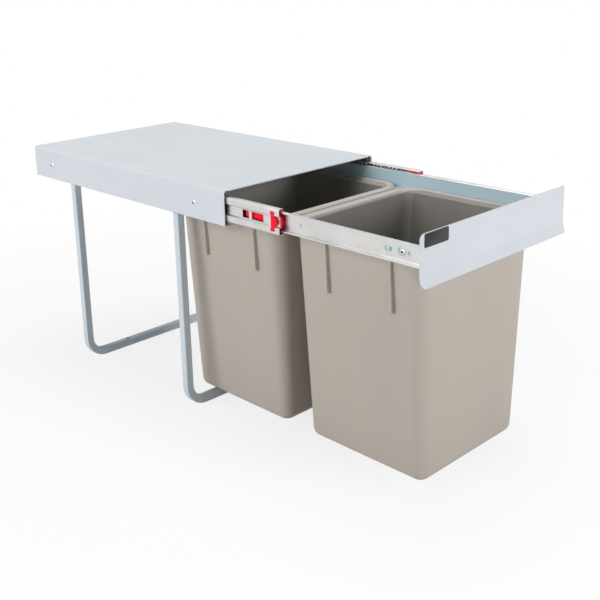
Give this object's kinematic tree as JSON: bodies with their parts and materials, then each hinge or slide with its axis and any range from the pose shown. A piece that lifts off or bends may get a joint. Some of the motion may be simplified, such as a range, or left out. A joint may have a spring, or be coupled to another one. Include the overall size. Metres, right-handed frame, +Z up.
{
  "type": "pull-out cabinet waste bin",
  "caption": "Pull-out waste bin for a base cabinet: plastic bins hang in a steel drawer frame that runs on ball bearing slides under a folded steel cover.",
  "frame": {"origin": "on the cabinet floor, in the middle of the floor screw holes", "axes": "+Y points into the cabinet and the drawer opens towards -Y; +X is to the right seen from the front; +Z is up"},
  "size_m": [0.3028, 0.8246, 0.3575],
  "materials": {
    "cover_paint": "smooth light grey-blue powder paint",
    "tube_paint": "smooth blue-grey powder paint",
    "drawer_paint": "smooth blue-grey powder paint",
    "zinc": "bright zinc-plated strip steel",
    "cage_steel": "plain thin steel strip",
    "ball_steel": "polished steel",
    "red_plastic": "moulded red, semi gloss",
    "bin_plastic": "warm grey, finely grained",
    "screw_steel": "bright plated steel"
  },
  "bodies": {
    "base": {"cover": "cover_paint", "floor_frame_front": "tube_paint", "floor_frame_rear": "tube_paint", "slide_outer_left": "zinc", "slide_outer_right": "zinc", "flange_screws": "screw_steel"},
    "outer_cages": {"outer_cage_left": "cage_steel", "outer_cage_right": "cage_steel", "outer_balls": "ball_steel"},
    "middle": {"slide_middle_left": "zinc", "slide_middle_right": "zinc", "bumper_left": "red_plastic", "bumper_right": "red_plastic"},
    "inner_cages": {"inner_cage_left": "cage_steel", "inner_cage_right": "cage_steel", "inner_balls": "ball_steel"},
    "drawer": {"slide_inner_left": "zinc", "slide_inner_right": "zinc", "frame_side_left": "drawer_paint", "frame_side_right": "drawer_paint", "frame_front": "drawer_paint", "frame_back": "drawer_paint", "front_panel": "cover_paint", "frame_screws": "screw_steel"},
    "front_bin": {"bin_front": "bin_plastic"},
    "rear_bin": {"bin_rear": "bin_plastic"}
  },
  "joints": [
    {"name": "middle_slide", "type": "slide", "parent": "base", "child": "middle", "axis": [0, -1, 0], "range_m": [-0.104, 0.121]},
    {"name": "outer_cage_slide", "type": "slide", "parent": "base", "child": "outer_cages", "axis": [0, -1, 0], "range_m": [-0.052, 0.0605]},
    {"name": "drawer_slide", "type": "slide", "parent": "middle", "child": "drawer", "axis": [0, -1, 0], "range_m": [-0.224, 0]},
    {"name": "inner_cage_slide", "type": "slide", "parent": "middle", "child": "inner_cages", "axis": [0, -1, 0], "range_m": [-0.112, 0]},
    {"name": "front_bin_lift", "type": "slide", "parent": "drawer", "child": "front_bin", "axis": [0, 0, 1], "range_m": [0, 0.025]},
    {"name": "rear_bin_lift", "type": "slide", "parent": "drawer", "child": "rear_bin", "axis": [0, 0, 1], "range_m": [0, 0.025]}
  ],
  "couplings": [
    {"joint": "outer_cage_slide", "follows": "middle_slide", "ratio": 0.5},
    {"joint": "inner_cage_slide", "follows": "drawer_slide", "ratio": 0.5}
  ]
}
